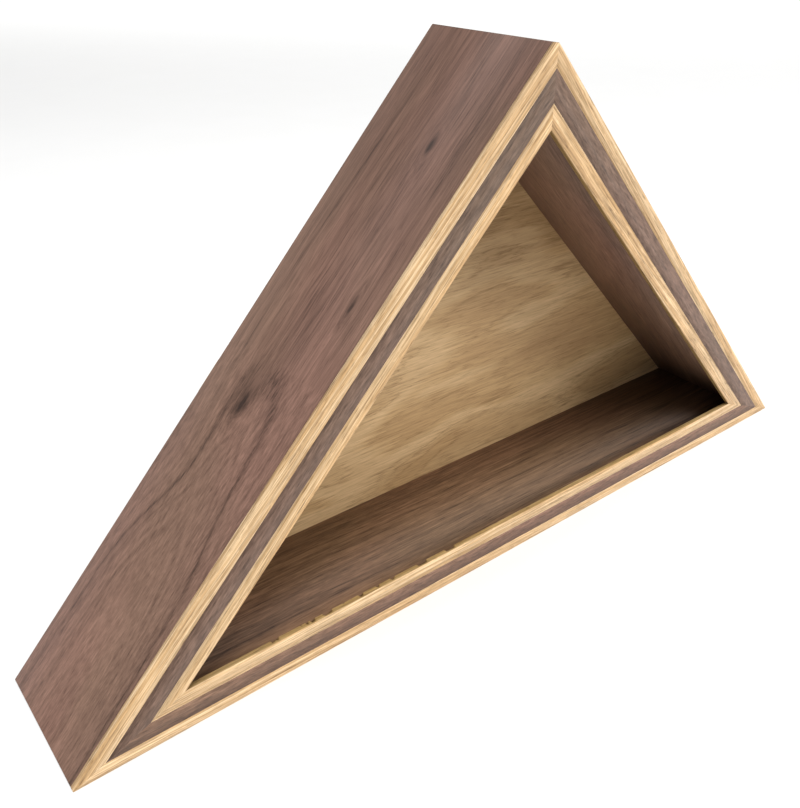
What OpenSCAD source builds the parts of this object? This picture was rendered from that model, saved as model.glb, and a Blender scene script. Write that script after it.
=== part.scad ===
// Triangular display case for a folded flag.
// Three mitred walnut boards carry a flat face frame of oak, walnut and oak strips.
// A plywood back sits in a rebate and is held by four brass turn buttons.
// Row frame: +X to the right, +Z up, the front faces -Y. The case stands on z = 0.

/* [Case] */
// Length of the base, corner to corner
base_length = 660; // [560:10:760]
// Depth of the boards, behind the face frame
board_depth = 97; // [80:1:130]
// Thickness of the walnut boards
wall = 19; // [16:1:22]

/* [Face frame] */
// Thickness of the strips
strip_thickness = 4; // [3:0.5:6]
// Width of the outer oak strip
outer_width = 8.4; // [6:0.1:11]
// Width of the middle walnut strip
middle_width = 11.7; // [9:0.1:14]
// Width of the inner oak strip, which overhangs the boards as a lip
inner_width = 9.3; // [7:0.1:12]

/* [Back] */
// Thickness of the plywood back
panel_thickness = 5.8; // [4:0.1:6]
// Depth of the rebate that the back sits in
rebate_depth = 6; // [6:0.5:9]
// Width of the rebate, which leaves a land along the rear edge of each board
rebate_width = 8; // [5:0.5:8]
// Gap between the edge of the back and the rebate
panel_gap = 0.5; // [0.3:0.1:1]

/* [Corner splines] */
// Width of the hidden spline, across the mitre
spline_width = 14; // [8:1:16]
// Thickness of the spline
spline_thickness = 3; // [2:0.5:4]

/* [Turn buttons] */
// Distance from the pivot to the centre of the far end
button_reach = 21; // [16:1:26]
// Width of a button
button_width = 9; // [7:0.5:9]
// Thickness of a button
button_thickness = 1.6; // [1:0.2:2.4]
// Radius of the screw's shank
screw_radius = 1.55; // [1.2:0.05:2]
// Radius of the screw's head
head_radius = 3; // [2.6:0.1:3.6]
// Height of the screw's head
head_height = 1.6; // [1.2:0.1:2.4]
// Depth of the screw in the board
screw_depth = 16; // [10:1:25]

/* [Hidden] */

half = base_length / 2;
running_gap = 0.1;   // between a button and what it turns on
hole_gap = 0.05;     // between a screw's shank and the button's hole
slot_width = 0.8;    // screwdriver slot
slot_depth = 0.7;

// Stations along Y. The screw heads stand out behind, and the whole depth is centred on y = 0.
hardware = 2 * running_gap + button_thickness + head_height;
front = -(strip_thickness + board_depth + hardware) / 2;
board_front = front + strip_thickness;
board_back = board_front + board_depth;
shoulder = board_back - rebate_depth;
button_front = board_back + running_gap;
button_back = button_front + button_thickness;
head_front = button_back + running_gap;

// Inset lines of the strips, measured in from the outer faces.
middle_start = outer_width;
inner_start = outer_width + middle_width;
lip = outer_width + middle_width + inner_width;
land = wall - rebate_width;

// The sides of the triangle.
BASE = 0;
RIGHT = 1;
LEFT = 2;

// Corners of the right-angled triangle moved in by d: left, right, apex.
function corners(d) = [
    [-(half - d * (1 + sqrt(2))), d],
    [half - d * (1 + sqrt(2)), d],
    [0, half - d * sqrt(2)]
];

// A shape drawn in X and Z, with thickness along Y.
module slab(y0, y1) {
    translate([0, y1, 0])
        rotate([90, 0, 0])
            linear_extrude(y1 - y0)
                children();
}

// One mitred member: the band of the triangle between two insets, along one side.
module member(side, outer, inner, y0, y1) {
    a = corners(outer);
    b = corners(inner);
    next = (side + 1) % 3;
    slab(y0, y1)
        polygon([a[side], a[next], b[next], b[side]]);
}

// Pivot of each button: left base, right base, left leg, right leg.
leg_pivot = [half / 2 - land / 2 / sqrt(2), half / 2 - land / 2 / sqrt(2)];
PIVOTS = [
    [-half / 2, land / 2],
    [half / 2, land / 2],
    [-leg_pivot[0], leg_pivot[1]],
    [leg_pivot[0], leg_pivot[1]]
];

module at_pivot(i) {
    translate([PIVOTS[i][0], 0, PIVOTS[i][1]])
        children();
}

// A round bar along Y.
module bar(radius, y0, y1) {
    translate([0, y1, 0])
        rotate([90, 0, 0])
            cylinder(h = y1 - y0, r = radius, $fn = 48);
}

// Outer corner and direction of each mitre, as an angle up from +X: left, right, apex.
MITRES = [
    [corners(0)[0], 22.5],
    [corners(0)[1], 157.5],
    [corners(0)[2], -90]
];

// A spline crosses its mitre at right angles. It stops short of the frame and of the rebate.
module spline(corner) {
    place = corner == 2 ? wall * 0.9 : wall * 1.75;
    stop = 8;
    translate([MITRES[corner][0][0], 0, MITRES[corner][0][1]])
        rotate([0, -MITRES[corner][1], 0])
            translate([place, (board_front + shoulder) / 2, 0])
                cube([spline_thickness, shoulder - board_front - 2 * stop, spline_width], center = true);
}

// A board is full thickness up to the rebate's shoulder, and a thin land behind it.
module board(side, shade) {
    color(shade)
        difference() {
            union() {
                member(side, 0, wall, board_front, shoulder);
                member(side, 0, land, shoulder, board_back);
            }
            for (corner = [0:2])
                spline(corner);
            for (i = [0:3])
                at_pivot(i)
                    bar(screw_radius, board_back - screw_depth, board_back + 1);
        }
}

module strip(side, outer, inner, shade) {
    color(shade)
        member(side, outer, inner, front, board_front);
}

module base_board() board(BASE, "#6b5248");
module right_board() board(RIGHT, "#6b5248");
module left_board() board(LEFT, "#7a6054");

module base_outer_strip() strip(BASE, 0, middle_start, "#e0bd8c");
module right_outer_strip() strip(RIGHT, 0, middle_start, "#e0bd8c");
module left_outer_strip() strip(LEFT, 0, middle_start, "#e0bd8c");
module base_middle_strip() strip(BASE, middle_start, inner_start, "#6e5c54");
module right_middle_strip() strip(RIGHT, middle_start, inner_start, "#6e5c54");
module left_middle_strip() strip(LEFT, middle_start, inner_start, "#6e5c54");
module base_inner_strip() strip(BASE, inner_start, lip, "#d9b27c");
module right_inner_strip() strip(RIGHT, inner_start, lip, "#d9b27c");
module left_inner_strip() strip(LEFT, inner_start, lip, "#d9b27c");

module left_spline() color("burlywood") spline(0);
module right_spline() color("burlywood") spline(1);
module apex_spline() color("burlywood") spline(2);

// The back rests on the rebate's shoulder, a little below the boards' rear edges.
module back_panel() {
    color("#b8935f")
        slab(shoulder, shoulder + panel_thickness)
            polygon(corners(land + panel_gap));
}

// A turn button lies on the land at rest, pointing along angle from its pivot.
module turn_button(i, angle) {
    color("goldenrod")
        at_pivot(i)
            difference() {
                slab(button_front, button_back)
                    rotate(angle)
                        union() {
                            circle(button_width / 2, $fn = 48);
                            translate([0, -button_width / 2])
                                square([button_reach, button_width]);
                            translate([button_reach, 0])
                                circle(button_width / 2, $fn = 48);
                        }
                bar(screw_radius + hole_gap, button_front - 1, button_back + 1);
            }
}

module left_base_button() turn_button(0, 180);
module right_base_button() turn_button(1, 0);
module left_leg_button() turn_button(2, 225);
module right_leg_button() turn_button(3, -45);

// Four slotted pan-head screws. Each is the pivot of its button.
module button_screws() {
    color("darkgoldenrod")
        for (i = [0:3])
            at_pivot(i)
                difference() {
                    union() {
                        bar(screw_radius, board_back - screw_depth, head_front + 0.5);
                        bar(head_radius, head_front, head_front + head_height);
                    }
                    translate([-head_radius - 1, head_front + head_height - slot_depth, -slot_width / 2])
                        cube([2 * head_radius + 2, slot_depth + 1, slot_width]);
                }
}

base_board();
right_board();
left_board();
base_outer_strip();
right_outer_strip();
left_outer_strip();
base_middle_strip();
right_middle_strip();
left_middle_strip();
base_inner_strip();
right_inner_strip();
left_inner_strip();
apex_spline();
left_spline();
right_spline();
back_panel();
left_base_button();
right_base_button();
left_leg_button();
right_leg_button();
button_screws();
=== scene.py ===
import math

import bpy
import bmesh
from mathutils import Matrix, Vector


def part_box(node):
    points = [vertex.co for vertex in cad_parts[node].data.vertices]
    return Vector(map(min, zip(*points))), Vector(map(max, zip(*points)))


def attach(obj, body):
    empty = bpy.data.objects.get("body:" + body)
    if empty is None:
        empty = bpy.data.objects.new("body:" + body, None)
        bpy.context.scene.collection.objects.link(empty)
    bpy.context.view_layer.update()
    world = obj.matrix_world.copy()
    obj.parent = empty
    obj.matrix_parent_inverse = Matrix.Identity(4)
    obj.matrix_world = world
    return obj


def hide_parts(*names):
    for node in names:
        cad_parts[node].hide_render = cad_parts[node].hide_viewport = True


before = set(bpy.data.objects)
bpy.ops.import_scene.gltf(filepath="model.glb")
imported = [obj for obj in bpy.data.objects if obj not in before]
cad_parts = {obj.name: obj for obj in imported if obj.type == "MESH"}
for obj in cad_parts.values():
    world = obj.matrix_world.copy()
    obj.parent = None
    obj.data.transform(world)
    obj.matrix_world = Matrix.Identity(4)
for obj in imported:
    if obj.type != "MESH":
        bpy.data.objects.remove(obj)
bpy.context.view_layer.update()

# ---------------------------------------------------------------- view of the case
# The case stands on a pale sweep and is seen from above, in front of its left corner.
view = bpy.data.cameras.new("view")
view.sensor_width = 36.0
view.lens = 35.95
view.shift_x = -0.0398
view.shift_y = 0.1166
camera = bpy.data.objects.new("view", view)
camera.location = (-0.3431, -0.3714, 0.3844)
camera.rotation_euler = [math.radians(a) for a in (53.777, -0.244, -39.182)]
bpy.context.scene.collection.objects.link(camera)
bpy.context.scene.camera = camera
bpy.context.scene.view_settings.view_transform = "Standard"


# ---------------------------------------------------------------- pale sweep and soft light
# A white painted table runs on to the horizon, under an even white tent. A large soft panel
# hangs overhead, and a second one stands low in front, to the right.
class Term:
    """One output of a node. Sums, products and powers of terms become Math nodes."""

    def __init__(self, tree, socket):
        self.tree, self.socket = tree, socket

    def math(self, operation, *others):
        return self.tree.node("ShaderNodeMath", {"operation": operation}, self, *others)

    def __add__(self, other):
        return self.math("ADD", other)

    def __sub__(self, other):
        return self.math("SUBTRACT", other)

    def __rsub__(self, other):
        return self.tree.node("ShaderNodeMath", {"operation": "SUBTRACT"}, other, self)

    def __mul__(self, other):
        return self.math("MULTIPLY", other)

    def __truediv__(self, other):
        return self.math("DIVIDE", other)

    def __pow__(self, other):
        return self.math("POWER", other)

    def __neg__(self):
        return self * -1.0

    __radd__ = __add__
    __rmul__ = __mul__


class Tree:
    """A node tree of a material or of a shape."""

    def __init__(self, tree):
        self.tree = tree
        self.tree.nodes.clear()

    def node(self, kind, settings, *values, out=None, **named):
        """Adds a node: settings first, then the values or links of its sockets, in order or by name.
        A name has an underscore for each space. Returns the output asked for, or the first."""
        node = self.tree.nodes.new(kind)
        stops = settings.pop("stops", None)
        for key, value in settings.items():
            setattr(node, key, value)
        if stops:
            ramp = node.color_ramp
            while len(ramp.elements) < len(stops):
                ramp.elements.new(1.0)
            for element, (place, colour) in zip(ramp.elements, stops):
                element.position = place
                element.color = colour
        sockets = [s for s in node.inputs if s.enabled]
        pairs = list(zip(sockets, values))
        for key, value in named.items():
            pairs.append((next(s for s in sockets if s.name == key.replace("_", " ")), value))
        for socket, value in pairs:
            if isinstance(value, Term):
                self.tree.links.new(value.socket, socket)
            else:
                socket.default_value = value
        outputs = [s for s in node.outputs if s.enabled]
        if not outputs:
            return node
        return Term(self, next((s for s in outputs if s.name == out), outputs[0]))


def new_material(name):
    material = bpy.data.materials.new(name)
    material.use_nodes = True
    return material, Tree(material.node_tree)


def blend(tree, share, first, second, how="MIX"):
    return tree.node("ShaderNodeMix", {"data_type": "RGBA", "blend_type": how}, share, first, second)


def ease_between(tree, value, start, end):
    """Zero up to the start, one past the end, and a soft step between them."""
    return tree.node(
        "ShaderNodeMapRange", {"interpolation_type": "SMOOTHSTEP"}, value, From_Min=start, From_Max=end
    )


WARM_WHITE = (1.0, 1.0, 0.995, 1.0)
FAR_SIDE = (0.63, 0.78, 0.0)          # the way to the far side of the table
GLOW_START, GLOW_FULL = 1.3, 4.6      # how far off the glow of the far side begins, and is whole
FAR_GLOW = 0.5
TABLE_SIZE = 60.0


def white_table_top():
    """Matt white paint, a little uneven. Its far side glows softly, as a lit backdrop does."""
    material, tree = new_material("white_table")
    coords = tree.node("ShaderNodeTexCoord", {}, out="Object")
    mottle = tree.node("ShaderNodeTexNoise", {}, Vector=coords, Scale=9.0, Detail=4.0)
    paint = blend(tree, mottle, (0.78, 0.78, 0.775, 1), (0.80, 0.80, 0.80, 1))
    far = tree.node("ShaderNodeVectorMath", {"operation": "DOT_PRODUCT"}, coords, FAR_SIDE, out="Value")
    glow = blend(tree, ease_between(tree, far, GLOW_START, GLOW_FULL), (0, 0, 0, 1), WARM_WHITE)
    surface = tree.node(
        "ShaderNodeBsdfPrincipled", {}, Base_Color=paint, Roughness=0.75,
        Emission_Color=glow, Emission_Strength=FAR_GLOW,
    )
    tree.node("ShaderNodeOutputMaterial", {}, Surface=surface)
    return material


table_mesh = bpy.data.meshes.new("white_table")
reach = TABLE_SIZE / 2
table_mesh.from_pydata(
    [(-reach, -reach, 0), (reach, -reach, 0), (reach, reach, 0), (-reach, reach, 0)], [], [(0, 1, 2, 3)]
)
table = bpy.data.objects.new("white_table", table_mesh)
table_mesh.materials.append(white_table_top())
bpy.context.scene.collection.objects.link(table)

tent = bpy.data.worlds.new("white_tent")
tent.use_nodes = True
bpy.context.scene.world = tent
sky = Tree(tent.node_tree)
tent_light = sky.node("ShaderNodeBackground", {}, Color=WARM_WHITE, Strength=0.56)
sky.node("ShaderNodeOutputWorld", {}, Surface=tent_light)

SOFT_PANELS = {   # where each hangs or stands, and its power in watts
    "high_light": ((0.0, -0.764, 4.48), 184.0),
    "front_light": ((2.77, -3.08, 1.65), 88.0),
}
PANEL_WIDTH = 2.4
AIM_POINT = Vector((0, 0, 0.15))   # about the middle of the case
for name, (place, watts) in SOFT_PANELS.items():
    panel_light = bpy.data.lights.new(name, "AREA")
    panel_light.size = PANEL_WIDTH
    panel_light.energy = watts
    soft_panel = bpy.data.objects.new(name, panel_light)
    soft_panel.location = place
    aim = AIM_POINT - soft_panel.location
    soft_panel.rotation_euler = aim.to_track_quat("-Z", "Y").to_euler()
    bpy.context.scene.collection.objects.link(soft_panel)


# ---------------------------------------------------------------- three walnut boards
# Flat-sawn black walnut, 19 mm thick, rebated at the back and cut to a right-angled
# triangle. The mitres are glued, the outer arrises just broken with fine paper.
low_corner, high_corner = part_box("base_board")
half_base = high_corner.x
board_front = low_corner.y
board_back = high_corner.y
wall = high_corner.z
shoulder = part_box("back_panel")[0].y
BACK_GAP = 0.0005         # all round the back, in its rebate
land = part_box("back_panel")[0].z - BACK_GAP
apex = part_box("left_board")[1].z

EASED = 0.0003            # a broken arris
BLUNT_TIP = 0.0003        # the sanded tip of a mitre, measured in from the outer face
ACUTE = 1 + math.sqrt(2)  # how far a 45 degree corner moves in along its side, for each unit of inset
SQUARE = 1.0              # the same at the right-angled apex
SIDES = {                 # angle, length, start corner, mitre at the start and at the end
    "base": (0, 2 * half_base, (-half_base, 0), ACUTE, ACUTE),
    "right": (135, half_base * math.sqrt(2), (half_base, 0), ACUTE, SQUARE),
    "left": (225, half_base * math.sqrt(2), (0, apex), SQUARE, ACUTE),
}
GRAIN = {"base": 0, "right": -45, "left": 45}  # turn about Y that lays the grain along X


def shape_tree(name, inputs):
    """An empty shape tree with named inputs. Returns it and its inputs as terms."""
    group = bpy.data.node_groups.new(name, "GeometryNodeTree")
    tree = Tree(group)
    for key, kind in inputs.items():
        group.interface.new_socket(name=key, in_out="INPUT", socket_type=kind)
    group.interface.new_socket(name="Geometry", in_out="OUTPUT", socket_type="NodeSocketGeometry")
    entry = group.nodes.new("NodeGroupInput")
    return tree, {key: Term(tree, entry.outputs[key]) for key in inputs}


def split(tree, vector):
    """The three parts of a vector, as terms."""
    node = tree.tree.nodes.new("ShaderNodeSeparateXYZ")
    tree.tree.links.new(vector.socket, node.inputs[0])
    return [Term(tree, socket) for socket in node.outputs]


TEARS_PER_METRE = 62.0
TORN_LENGTH = 0.19        # the stretch of an arris that has torn
TEAR_LEVEL = 0.54         # the wood has torn where the noise is above this
TEAR_DEPTH = 0.0013       # the deepest tear
TEAR_SLANT = 1.2          # a tear runs this much further along the depth
AT_ARRIS = 0.0003         # a corner this close to the torn arris is part of it


def mitred_member():
    """An outline carried along one side of the triangle, and cut to the mitre at both ends.
    The outline's X is the inset from the outer face, its Y the depth, its radius the broken arris."""
    tree, given = shape_tree("mitred_member", {
        "Outline": "NodeSocketObject", "Length": "NodeSocketFloat", "Stations": "NodeSocketInt",
        "Start Mitre": "NodeSocketFloat", "End Mitre": "NodeSocketFloat", "Blunt": "NodeSocketFloat",
        "Turn": "NodeSocketVector", "Corner": "NodeSocketVector",
        "Tear": "NodeSocketFloat", "Arris": "NodeSocketVector", "Material": "NodeSocketMaterial",
    })
    drawn = tree.node("GeometryNodeObjectInfo", {}, given["Outline"], out="Geometry")
    ease = tree.node("GeometryNodeInputRadius", {})
    eased = tree.node(
        "GeometryNodeFilletCurve", {"mode": "POLY"}, drawn, Count=2, Radius=ease, Limit_Radius=True
    )
    far = tree.node("ShaderNodeCombineXYZ", {}, given["Length"])
    side = tree.node("GeometryNodeCurvePrimitiveLine", {}, End=far)
    cuts = tree.node("GeometryNodeResampleCurve", {}, side, Count=given["Stations"])
    even = tree.node("GeometryNodeSetCurveRadius", {}, cuts, Radius=1.0)
    swept = tree.node("GeometryNodeCurveToMesh", {}, even, eased, Fill_Caps=True)
    closed = tree.node("GeometryNodeMergeByDistance", {}, swept, Distance=1e-6)
    along, across, up = split(tree, tree.node("GeometryNodeInputPosition", {}))
    inset, depth = -across, -up
    # Tear-out: where the noise is high, the given arris is pulled back into the wood. Arris holds
    # its inset, its depth, and how far along the side the torn stretch ends.
    ragged = tree.node(
        "ShaderNodeTexNoise", {"noise_dimensions": "1D"}, W=along, Scale=TEARS_PER_METRE, Detail=3.0
    )
    arris_inset, arris_depth, tear_end = split(tree, given["Arris"])
    near_inset = (inset - arris_inset).math("ABSOLUTE").math("LESS_THAN", AT_ARRIS)
    near_depth = (depth - arris_depth).math("ABSOLUTE").math("LESS_THAN", AT_ARRIS)
    in_stretch = along.math("GREATER_THAN", tear_end - TORN_LENGTH) * along.math("LESS_THAN", tear_end)
    bite = ((ragged - TEAR_LEVEL).math("MAXIMUM", 0.0) * given["Tear"]).math("MINIMUM", TEAR_DEPTH)
    bite = bite * near_inset * near_depth * in_stretch
    inset = inset - bite
    depth = depth - bite * TEAR_SLANT
    share = along / given["Length"]
    # The sharp tips of the mitres are sanded flat across, as far in as the blunt inset.
    on_mitre = inset.math("MAXIMUM", given["Blunt"])
    short = (given["Blunt"] - inset).math("MAXIMUM", 0.0)
    start_shift = on_mitre * given["Start Mitre"] + short / given["Start Mitre"]
    end_shift = on_mitre * given["End Mitre"] + short / given["End Mitre"]
    shift = start_shift * (1 - share) - end_shift * share
    cut = tree.node("ShaderNodeCombineXYZ", {}, along + shift, depth, inset)
    mitred = tree.node("GeometryNodeSetPosition", {}, closed, Position=cut)
    outward = tree.node("GeometryNodeFlipFaces", {}, mitred)
    stood = tree.node(
        "GeometryNodeTransform", {}, outward, Translation=given["Corner"], Rotation=given["Turn"]
    )
    whole = tree.node("GeometryNodeRealizeInstances", {}, stood)
    dressed = tree.node("GeometryNodeSetMaterial", {}, whole, Material=given["Material"])
    tree.node("NodeGroupOutput", {}, dressed)
    return tree.tree


def weld(mesh):
    """Joins corners that meet, takes out slivers, and merges faces that lie in one plane."""
    shape = bmesh.new()
    shape.from_mesh(mesh)
    bmesh.ops.remove_doubles(shape, verts=shape.verts, dist=1e-5)
    bmesh.ops.dissolve_degenerate(shape, edges=shape.edges, dist=1e-6)
    bmesh.ops.dissolve_limit(
        shape, angle_limit=math.radians(0.5), verts=shape.verts, edges=shape.edges, delimit=set()
    )
    shape.to_mesh(mesh)
    shape.free()


def make(group, name, settings, cutters=()):
    """A plain mesh piece from a shape tree and its named inputs, with what the cutters hold taken out."""
    carrier = bpy.data.objects.new(name, bpy.data.meshes.new("carrier"))
    bpy.context.scene.collection.objects.link(carrier)
    shape = carrier.modifiers.new("shape", "NODES")
    shape.node_group = group
    sockets = {s.name: s.identifier for s in group.interface.items_tree if s.in_out == "INPUT"}
    for key, value in settings.items():
        shape[sockets[key]] = value
    if cutters:
        carrier.modifiers.new("flat_faces", "TRIANGULATE")
    for cutter in cutters:
        cut = carrier.modifiers.new("cut", "BOOLEAN")
        cut.object = cutter
        cut.solver = "EXACT"
    shown = carrier.evaluated_get(bpy.context.evaluated_depsgraph_get())
    mesh = bpy.data.meshes.new_from_object(shown)
    mesh.name = name
    carrier.modifiers.clear()
    carrier.data = mesh
    if cutters:
        weld(mesh)
    return carrier


def outline(points):
    """A closed outline for mitred_member: inset, depth and radius of the arris at each corner."""
    curve = bpy.data.curves.new("outline", "CURVE")
    curve.dimensions = "2D"
    spline = curve.splines.new("POLY")
    spline.points.add(len(points) - 1)
    for point, (inset, depth, arris) in zip(spline.points, points):
        point.co = (inset, depth, 0, 1)
        point.radius = arris
    spline.use_cyclic_u = True
    return bpy.data.objects.new("outline", curve)


MEMBER = mitred_member()


def member(name, side, points, material, cutters=(), stations=2, tear=0.0, arris=(0, 0, 0)):
    """A mitred member along one side of the triangle."""
    angle, length, (x, z), start, end = SIDES[side]
    return make(MEMBER, name, {
        "Outline": outline(points), "Length": length, "Stations": stations,
        "Start Mitre": start, "End Mitre": end, "Blunt": BLUNT_TIP,
        "Turn": (0, -math.radians(angle), 0), "Corner": (x, 0, z),
        "Tear": tear, "Arris": arris, "Material": material,
    }, cutters)


def linear(red, green, blue):
    """A colour given as screen values from 0 to 255."""
    return tuple(((v / 255 + 0.055) / 1.055) ** 2.4 for v in (red, green, blue)) + (1.0,)


def noise(tree, place, cells, seed, detail=2.0, roughness=0.5):
    """Noise from 0 to 1, with so many cells to the metre along each part of the place."""
    scaled = [part * count for part, count in zip(place, cells)]
    where = tree.node("ShaderNodeCombineXYZ", {}, *scaled)
    return tree.node(
        "ShaderNodeTexNoise", {"noise_dimensions": "4D"}, where,
        W=seed, Scale=1.0, Detail=detail, Roughness=roughness,
    )


def along_grain(tree, side):
    """A piece's own coordinates, turned so that X runs with the grain and Z through the thickness."""
    coords = tree.node("ShaderNodeTexCoord", {}, out="Object")
    turned = tree.node("ShaderNodeMapping", {}, coords, Rotation=(0, math.radians(GRAIN[side]), 0))
    return split(tree, turned)


def oiled(tree, colour, relief, roughness, depth=0.0002):
    """A thin matt oil finish, which leaves the pores open."""
    bump = tree.node("ShaderNodeBump", {}, Strength=0.5, Distance=depth, Height=relief)
    surface = tree.node(
        "ShaderNodeBsdfPrincipled", {}, Base_Color=colour, Roughness=roughness,
        Specular_IOR_Level=0.35, Normal=bump,
    )
    tree.node("ShaderNodeOutputMaterial", {}, Surface=surface)


def shaded(tree, ground, value, green, blue):
    """A ground colour times a value. Green and blue take the value to a power, so dark grain is warmer."""
    shade = tree.node("ShaderNodeCombineColor", {}, value, value ** green, value ** blue)
    return blend(tree, 1.0, ground, shade, "MULTIPLY")


def ridge(value, place, width):
    """One where the value is at the place, falling to nothing about two widths away."""
    off = (value - place) / width
    return (-(off * off)).math("EXPONENT")


STREAK_DEPTH = 0.24    # how strongly walnut's broad streaks, fine lines, fibres and pores show
LINE_DEPTH = 0.2
FIBRE_DEPTH = 1.9
PORE_DEPTH = 0.13
RING_POWER = 2.7       # 2 makes the growth rings round, more makes them squarer


def walnut(name, side, seed, pith=(0.3, 0.1), lean=0.0, rings=150, tone=(1.0, 1.0, 1.0), contrast=1.0,
           texture=1.0, fibre_length=0.03, waist=(), knots=(), dark_rings=(), stripes=(), painted_corner_shade=()):
    """Growth rings round a pith line that lies under the face and leans away from it, so that the
    rings come out as cathedrals. A knot has a place along and across, a size and a depth of colour,
    and pushes the grain aside. A dark ring has its radius, width and depth of colour. A stripe lies
    along the grain: its place across, its half width, where it fades out, and its depth of colour.
    Between two places along the board it darkens to a depth of colour, with a grain-shaped edge:
    painted shade of the deep corner that the board runs into. At the waist, given by its place
    along, its length and how far the rings draw in below and above, the cathedrals are pinched."""
    material, tree = new_material(name)
    x, y, z = along_grain(tree, side)
    pith_y, pith_z = pith
    waver = (noise(tree, (x, y, z), (8, 14, 14), seed, 2.0) - 0.5) * 0.009
    slow = (noise(tree, (x, y, z), (3.2, 9, 9), seed + 7, 2.0) - 0.5) * 0.012
    height = z - pith_z + (x - 0.02).math("MINIMUM", 0.0) * lean + slow
    across = y + waver
    stain = 0.0
    for knot_x, knot_y, size, depth in knots:
        away_x = (x - knot_x) / (size * 3)
        away_y = (y - knot_y) / size
        reach = (-(away_x * away_x + away_y * away_y) * 0.4).math("EXPONENT")
        height = height + reach * size * 0.8
        across = across - (y - knot_y) * reach * 0.7
        smear = noise(tree, (x, y, z), (160, 420, 420), seed + 9, 2.0)
        core = (-(away_x * away_x * 2.4 + away_y * away_y * 3)).math("EXPONENT") * (smear * 1.6 + 0.1)
        stain = stain + core * depth + reach * depth * 0.25
    sideways = (across - pith_y).math("ABSOLUTE")
    if waist:
        middle, length, below, above = waist
        drawn_in = ease_between(tree, across, pith_y - 0.005, pith_y + 0.005) * (above - below) + below
        sideways = sideways + ridge(x, middle, length) * drawn_in
    powers = sideways ** RING_POWER + height.math("ABSOLUTE") ** RING_POWER
    radius = powers ** (1 / RING_POWER)
    band = noise(tree, (radius, x, y), (rings, 0.9, 2), seed + 1, 3.0, 0.6)
    fine_band = noise(tree, (radius, x, y), (620, 4, 5), seed + 2, 3.0, 0.6)
    hair = noise(tree, (x, across, height), (1 / fibre_length, 900, 900), seed + 3, 3.0, 0.7)
    pore = noise(tree, (x, across, height), (180, 1250, 1250), seed + 4, 1.0)
    patch = noise(tree, (x, y, z), (6, 16, 16), seed + 5, 2.0)
    red = tuple(c * t for c, t in zip(linear(124, 94, 81), tone)) + (1.0,)
    brown = tuple(c * t for c, t in zip(linear(119, 93, 78), tone)) + (1.0,)
    ground = blend(tree, ease_between(tree, patch, 0.35, 0.65), red, brown)
    streak = (ease_between(tree, band, 0.36, 0.62) - 0.5) * STREAK_DEPTH * contrast
    line = (ease_between(tree, fine_band, 0.38, 0.62) - 0.5) * LINE_DEPTH * contrast
    if lean:
        # The fine lines show on the arms of the cathedrals, and fade out near their tips.
        on_arm = ease_between(tree, sideways / radius, 0.4, 0.85)
        line = line * on_arm.math("MAXIMUM", ease_between(tree, x, 0.0, 0.06))
    open_pore = ease_between(tree, pore, 0.57, 0.72) * PORE_DEPTH * texture
    fibres = (hair - 0.5) * FIBRE_DEPTH * texture
    value = 1.02 + 0.01 * texture + streak + line + fibres - open_pore
    for level, width, depth in dark_rings:
        value = value - ridge(radius, level, width) * ease_between(tree, band, 0.2, 0.5) * depth
    for middle, half, fade, depth in stripes:
        value = value - ridge(y, middle, half) * ease_between(tree, x, fade + 0.05, fade - 0.05) * depth
    # Painted shade: towards the deep corner it runs into, the board is darkened, and the edge of the dark
    # follows the growth rings.
    if painted_corner_shade:
        start, end, depth = painted_corner_shade
        value = value * (1 - ease_between(tree, x + (band - 0.5) * 0.05, start, end) * depth)
    if knots:
        value = value * (1 - stain).math("MAXIMUM", 0.22)
    colour = shaded(tree, ground, value, 1.07, 1.12)
    oiled(tree, colour, hair * 0.5 - open_pore * 3, 0.54 + (hair - 0.5) * 0.15)
    return material


outer_face = apex / math.sqrt(2)   # of the right and left boards, from the middle of the base
# Each board is darkened towards the right corner or the apex: painted shade of those deep corners.
board_wood = {
    "base": walnut(
        "walnut_base_board", "base", 3.1, pith=(-0.07, -0.03), lean=0.05, rings=260,
        tone=(0.94, 0.91, 0.68), contrast=1.7, texture=1.35, painted_corner_shade=(0.03, 0.29, 0.65),
        # The second stripe, with its negative depth, is a pale band just behind the lip, strongest at the
        # left end: partly a paler band in the wood, partly painted light against the lip's shadow.
        stripes=[(-0.0292, 0.0009, -0.12, 0.6), (-0.0395, 0.0072, -0.10, -0.9), (0.029, 0.0011, 0.3, 0.22)],
    ),
    "right": walnut(
        "walnut_right_board", "right", 7.7, pith=(0.03, outer_face - 0.09), lean=0.06, rings=130,
        tone=(0.97, 0.93, 0.83), painted_corner_shade=(0.13, 0.2, 0.5),
    ),
    "left": walnut(
        "walnut_left_board", "left", 5.3, pith=(-0.003, outer_face - 0.045), lean=0.138, rings=120,
        tone=(1.06, 1.02, 1.015), contrast=0.85, painted_corner_shade=(0.02, 0.2, 0.26),
        waist=(-0.055, 0.045, 0.008, 0.0165),
        knots=[
            (0.163, -0.0106, 0.0033, 0.75), (0.0667, -0.0279, 0.0029, 0.8), (-0.009, 0.0064, 0.0046, 0.75),
        ],
        dark_rings=[
            (0.0298, 0.0012, 0.2), (0.0430, 0.0012, 0.42), (0.0385, 0.0006, 0.16), (0.0515, 0.0008, 0.22),
        ],
    ),
}
board_outline = [
    (0, board_front, 0), (BLUNT_TIP, board_front, 0), (wall, board_front, 0), (wall, shoulder, EASED),
    (land, shoulder, 0), (land, board_back, EASED / 2), (BLUNT_TIP, board_back, 0), (0, board_back, EASED),
]
joinery = [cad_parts[n] for n in ("apex_spline", "left_spline", "right_spline", "button_screws")]
for side in SIDES:
    board = member(f"{side}_board_finished", side, board_outline, board_wood[side], joinery)
    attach(board, "case")
    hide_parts(f"{side}_board")


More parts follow.
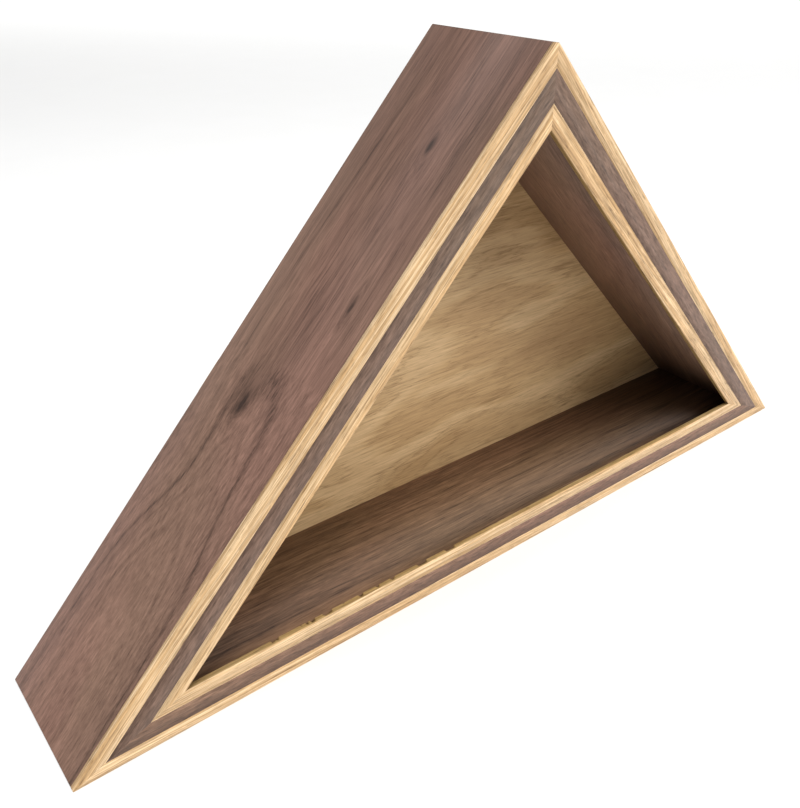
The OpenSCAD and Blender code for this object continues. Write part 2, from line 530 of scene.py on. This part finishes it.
# ---------------------------------------------------------------- corner splines
# Three birch slips, 3 mm thick, glued into grooves across the mitres. They are hidden inside.
def birch():
    material, tree = new_material("bare_birch")
    x, y, z = along_grain(tree, "base")
    fibre = noise(tree, (x, y, z), (700, 30, 700), 2.0, 3.0)
    colour = blend(tree, fibre, linear(214, 188, 150), linear(231, 210, 176))
    oiled(tree, colour, fibre, 0.7)
    return material


def dress(name, material):
    """A CAD piece keeps its shape, and takes a finish."""
    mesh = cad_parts[name].data
    mesh.materials.clear()
    mesh.materials.append(material)


spline_wood = birch()
for corner in ("apex", "left", "right"):
    dress(f"{corner}_spline", spline_wood)


# ---------------------------------------------------------------- face frame
# Nine long-grain strips, 4 mm thick: white oak, walnut, white oak along each side, edge-glued
# and mitred, then glued to the front of the boards. The inner oak overhangs as a lip.
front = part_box("base_outer_strip")[0].y
middle_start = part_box("base_middle_strip")[0].z
inner_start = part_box("base_inner_strip")[0].z
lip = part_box("base_inner_strip")[1].z
LIP_ARRIS = 0.0001      # the lip's back arris is nearly sharp
TEAR_REACH = 0.0024     # a tear fades out this far from the lip's back arris

OAK_FIBRE_DEPTH = 2.4      # how strongly oak's fibres and open pores show
OAK_PORE_DEPTH = 0.28
OAK_WARMTH = (1.12, 1.3)   # the powers of green and blue in oak's dark grain


def oak(name, side, seed, slope, sawn_edge_and_shade, torn, tone):
    """Straight-grained white oak: close growth lines, which run off the edge at a slight slope,
    darker pore dashes and a few pale flecks. Behind its front face an inner strip is darkened to olive:
    partly the dull colour of a sawn edge, partly painted shade on the lip's inner edge. Where the lip is
    torn, the wood is darkened to brown."""
    material, tree = new_material(name)
    x, y, z = along_grain(tree, side)
    drift = (noise(tree, (x, y, z), (7, 30, 30), seed, 2.0) - 0.5) * 0.005
    across = z + drift + x * slope
    growth = noise(tree, (x, y, across), (3, 460, 460), seed + 1, 3.0, 0.68)
    hair = noise(tree, (x, y, across), (28, 1000, 1000), seed + 2, 3.0, 0.66)
    pore = noise(tree, (x, y, across), (130, 1400, 1400), seed + 3, 1.0)
    fleck = noise(tree, (x, y, z), (260, 300, 500), seed + 4, 0.0)
    patch = noise(tree, (x, y, z), (9, 40, 40), seed + 5, 2.0)
    late_wood = ease_between(tree, growth, 0.4, 0.6)
    ground = blend(tree, late_wood, linear(188, 151, 105), linear(214, 183, 142))
    warm = blend(tree, ease_between(tree, patch, 0.3, 0.7) * 0.3, ground, linear(202, 162, 114))
    # Behind the front face, which takes in the lip's inner edge, the strip darkens to olive: partly painted
    # shade on that edge, partly the duller colour of a sawn edge.
    if sawn_edge_and_shade:
        behind_face = ease_between(tree, y, front + EASED, front + 0.0008)
        warm = blend(tree, behind_face * 0.8, warm, linear(138, 112, 66))
    # The torn places on the lip's back arris are darkened to brown.
    if torn:
        below = lip - z
        under_edge = ease_between(tree, below, 0.00005, 0.0004)
        in_reach = ease_between(tree, below, TEAR_REACH, TEAR_REACH * 0.8)
        at_back = ease_between(tree, y, board_front - TEAR_REACH, board_front - TEAR_REACH * 0.7)
        warm = blend(tree, under_edge * in_reach * at_back * 0.7, warm, linear(84, 60, 34))
    open_pore = ease_between(tree, pore, 0.57, 0.7) * OAK_PORE_DEPTH
    flecks = ease_between(tree, fleck, 0.7, 0.78) * 0.12
    value = tone + (hair - 0.5) * OAK_FIBRE_DEPTH - open_pore + flecks
    colour = shaded(tree, warm, value, *OAK_WARMTH)
    oiled(tree, colour, hair * 0.5 - open_pore * 3, 0.5 + (hair - 0.5) * 0.15)
    return material


strip_outlines = {
    "outer": [
        (0, front, EASED), (BLUNT_TIP, front, 0), (middle_start, front, 0),
        (middle_start, board_front, 0), (BLUNT_TIP, board_front, 0), (0, board_front, 0),
    ],
    "middle": [
        (middle_start, front, 0), (inner_start, front, 0),
        (inner_start, board_front, 0), (middle_start, board_front, 0),
    ],
    "inner": [
        (inner_start, front, 0), (lip, front, EASED),
        (lip, board_front, LIP_ARRIS), (inner_start, board_front, 0),
    ],
    "torn": [
        (inner_start, front, 0), (lip, front, EASED), (lip, board_front - TEAR_REACH, 0),
        (lip, board_front, LIP_ARRIS), (lip - TEAR_REACH, board_front, 0), (inner_start, board_front, 0),
    ],
}
STRIP_TONE = {"base": (1.04, 1.02, 0.92), "right": (0.79, 0.83, 0.8), "left": (0.76, 0.82, 0.79)}
OAK_TONE = {"base_inner_strip": 1.1, "right_inner_strip": 0.87}   # the other four are cut from one board
OAK_BRIGHTNESS = 1.05
GRAIN_SLOPE = 0.02      # the most that oak's growth lines run out
TORN_STATIONS = 1300    # cuts along the torn strip, two to the millimetre
TEAR_GAIN = 0.03        # how fast a tear deepens as the noise rises
TEAR_END = 0.262        # from the left tip of the base
seed = 11.0             # each strip is another stick of wood
for side in SIDES:
    for kind in ("outer", "middle", "inner"):
        name = f"{side}_{kind}_strip"
        seed += 1.7
        torn = name == "base_inner_strip"
        if kind == "middle":
            material = walnut(f"walnut_{name}", side, seed, rings=90, tone=STRIP_TONE[side], contrast=0.35,
                              texture=1.5, fibre_length=0.009)
        else:
            slope = math.sin(seed * 5) * GRAIN_SLOPE
            tone = OAK_TONE.get(name, 1.0) * OAK_BRIGHTNESS
            material = oak(f"oak_{name}", side, seed, slope, kind == "inner", torn, tone)
        strip = member(
            f"{name}_finished", side, strip_outlines["torn" if torn else kind], material,
            stations=TORN_STATIONS if torn else 2, tear=TEAR_GAIN if torn else 0.0,
            arris=(lip, board_front, TEAR_END),
        )
        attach(strip, "case")
        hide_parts(name)


# ---------------------------------------------------------------- lift-out back
# Six-millimetre plywood with a rotary-cut oak face on both sides and a birch core. It drops
# into the rebate from behind, with half a millimetre to spare all round.
def ramp(tree, share, stops):
    return tree.node("ShaderNodeValToRGB", {"stops": stops}, share)


VENEER_CONTOURS = (   # level of the figure, width and depth of colour of each brown line
    (0.462, 0.005, 0.22), (0.575, 0.005, 0.3), (0.61, 0.004, 0.22), (0.655, 0.005, 0.25),
)


def oak_veneer():
    """Rotary-cut oak: the knife follows the rings, so broad patches with feathered edges and thin
    brown contours wander over the sheet, on a ground of short level fibres."""
    material, tree = new_material("oak_veneer")
    x, y, z = along_grain(tree, "base")
    feather = noise(tree, (x, y, z), (16, 1, 620), 4.4, 3.0, 0.68) - 0.5
    torn_x = x + feather * 0.085
    wander = noise(tree, (x, y, z), (6, 1, 6), 3.3, 1.0) - 0.5
    torn_z = z + feather * 0.006 + wander * 0.06
    figure = noise(tree, (torn_x, y, torn_z), (4.6, 1, 17), 5.1, 3.0, 0.5)
    eye = ridge(torn_x, 0.15, 0.1) * ridge(torn_z, 0.04, 0.035)
    figure = figure + eye * 0.2
    cloud = noise(tree, (torn_x, y, torn_z), (9, 1, 42), 6.0, 2.0)
    fibre = noise(tree, (x, y, z), (26, 60, 800), 7.0, 3.0, 0.68)
    pore = noise(tree, (x, y, z), (80, 60, 1200), 8.0, 1.0)
    ground = ramp(tree, figure, [
        (0.34, linear(174, 138, 94)), (0.48, linear(191, 156, 110)),
        (0.52, linear(205, 172, 127)), (0.66, linear(183, 148, 103)),
    ])
    contour = 0.0
    for level, width, depth in VENEER_CONTOURS:
        contour = contour + ridge(figure, level, width) * depth
    open_pore = ease_between(tree, pore, 0.55, 0.68) * 0.18
    value = 1.07 + (fibre - 0.5) + (cloud - 0.5) * 0.16 - contour - open_pore
    # Painted shade: the panel darkens towards the narrow apex, with a cloudy edge.
    painted_apex_shade = ease_between(tree, z + (cloud - 0.5) * 0.06, 0.12, 0.21)
    value = value * (1 - painted_apex_shade * 0.3)
    colour = shaded(tree, ground, value, *OAK_WARMTH)
    oiled(tree, colour, fibre * 0.5 - open_pore * 3, 0.55)
    return material


def plywood_edge():
    """The edge of the sheet: five layers, with the grain turned each time and dark glue between."""
    material, tree = new_material("plywood_edge")
    x, y, z = along_grain(tree, "base")
    sheet_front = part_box("back_panel")[0].y
    sheet_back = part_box("back_panel")[1].y
    layer_count = 5
    place = (y - sheet_front) / (sheet_back - sheet_front) * layer_count
    crossed = place.math("FLOORED_MODULO", 2.0).math("LESS_THAN", 1.0)
    glue = place.math("FRACT").math("LESS_THAN", 0.08)
    fibre = noise(tree, (x, y, z), (500, 900, 500), 3.0, 3.0)
    layer = blend(tree, crossed, linear(198, 164, 120), linear(172, 132, 88))
    grained = blend(tree, fibre * 0.4, layer, linear(150, 112, 72))
    colour = blend(tree, glue * 0.6, grained, linear(88, 62, 42))
    oiled(tree, colour, fibre, 0.75)
    return material


def plain_copy(node, name):
    """A CAD piece's shape as one welded mesh, with flat faces joined up."""
    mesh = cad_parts[node].data.copy()
    mesh.name = name
    weld(mesh)
    mesh.materials.clear()
    piece = bpy.data.objects.new(name, mesh)
    bpy.context.scene.collection.objects.link(piece)
    return piece


def soften(piece, width, segments):
    """Rounds every sharp edge of a piece a little, and keeps the result as a plain mesh."""
    bevel = piece.modifiers.new("soften", "BEVEL")
    bevel.width = width
    bevel.segments = segments
    bevel.limit_method = "ANGLE"
    bevel.angle_limit = math.radians(30)
    shown = piece.evaluated_get(bpy.context.evaluated_depsgraph_get())
    mesh = bpy.data.meshes.new_from_object(shown)
    piece.modifiers.clear()
    piece.data = mesh
    weld(mesh)


sheet = plain_copy("back_panel", "back_panel_finished")
soften(sheet, width=0.00025, segments=1)
sheet.data.materials.append(oak_veneer())
sheet.data.materials.append(plywood_edge())
for face in sheet.data.polygons:
    face.material_index = 0 if abs(face.normal.y) > 0.5 else 1
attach(sheet, "back")
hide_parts("back_panel")


# ---------------------------------------------------------------- turn buttons and screws
# Four stamped brass buttons, each on a slotted brass wood screw. They lie along the boards
# when free, and turn a quarter to lock the back in.
def brass(name, seed, worn):
    """Satin brass, rubbed brighter in places and dulled in others."""
    material, tree = new_material(name)
    coords = tree.node("ShaderNodeTexCoord", {}, out="Object")
    solid = {"noise_dimensions": "4D"}
    cloud = tree.node("ShaderNodeTexNoise", solid, coords, W=seed, Scale=260.0, Detail=4.0)
    rub = tree.node("ShaderNodeTexNoise", solid, coords, W=seed + 1, Scale=1900.0, Detail=2.0)
    colour = blend(tree, cloud * worn, linear(214, 176, 102), linear(150, 112, 62))
    bump = tree.node("ShaderNodeBump", {}, Strength=0.25, Distance=0.00005, Height=rub)
    surface = tree.node(
        "ShaderNodeBsdfPrincipled", {}, Base_Color=colour, Metallic=1.0,
        Roughness=0.26 + cloud * 0.22, Normal=bump,
    )
    tree.node("ShaderNodeOutputMaterial", {}, Surface=surface)
    return material


button_brass = brass("button_brass", 1.0, worn=0.6)
screw_brass = brass("screw_brass", 5.0, worn=0.9)
for place in ("left_base", "right_base", "left_leg", "right_leg"):
    button = plain_copy(f"{place}_button", f"{place}_button_finished")
    button.data.materials.append(button_brass)
    soften(button, width=0.0003, segments=3)
    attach(button, f"{place}_button")
    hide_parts(f"{place}_button")

screws = plain_copy("button_screws", "button_screws_finished")
screws.data.materials.append(screw_brass)
soften(screws, width=0.00025, segments=3)
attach(screws, "case")
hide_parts("button_screws")
